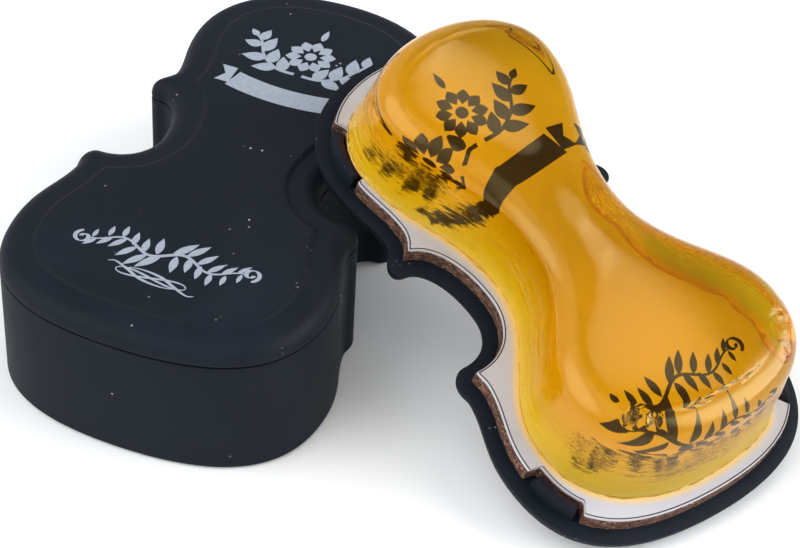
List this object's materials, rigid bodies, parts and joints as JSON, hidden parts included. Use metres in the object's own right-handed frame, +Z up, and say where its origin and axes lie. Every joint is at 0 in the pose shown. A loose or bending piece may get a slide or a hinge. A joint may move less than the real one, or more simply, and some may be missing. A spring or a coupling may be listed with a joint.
{
  "type": "rosin cake",
  "caption": "Amber rosin cake on a card and board in a black violin-shaped lid that leans on a closed violin-shaped rosin box.",
  "frame": {"origin": "middle of the closed box's base, on the surface the object stands on", "axes": "+Z up; +Y along the closed box towards its narrow upper bout; the opened lid leans on the box from the +X side"},
  "size_m": [0.106, 0.08, 0.0408],
  "materials": {
    "black_plastic": "soft-touch satin",
    "backing_board": "rough fibrous",
    "printed_card": "smooth coated card",
    "rosin": "clear amber, glossy on top and rippled down the sides"
  },
  "bodies": {
    "box": {"box_body": "black_plastic"},
    "closed_lid": {"box_lid": "black_plastic", "boxed_backing_board": "backing_board", "boxed_printed_card": "printed_card", "boxed_rosin_cake": "rosin"},
    "opened_lid_stack": {"opened_lid": "black_plastic", "backing_board": "backing_board", "printed_card": "printed_card", "rosin_cake": "rosin"}
  },
  "joints": [
    {"name": "box_lid_lift", "type": "slide", "parent": "box", "child": "closed_lid", "axis": [0, 0, 1], "range_m": [0, 0.03]},
    {"name": "opened_lid_lift", "type": "slide", "parent": "closed_lid", "child": "opened_lid_stack", "axis": [0.2741, -0.17, 0.9466], "range_m": [0, 0.04]}
  ]
}
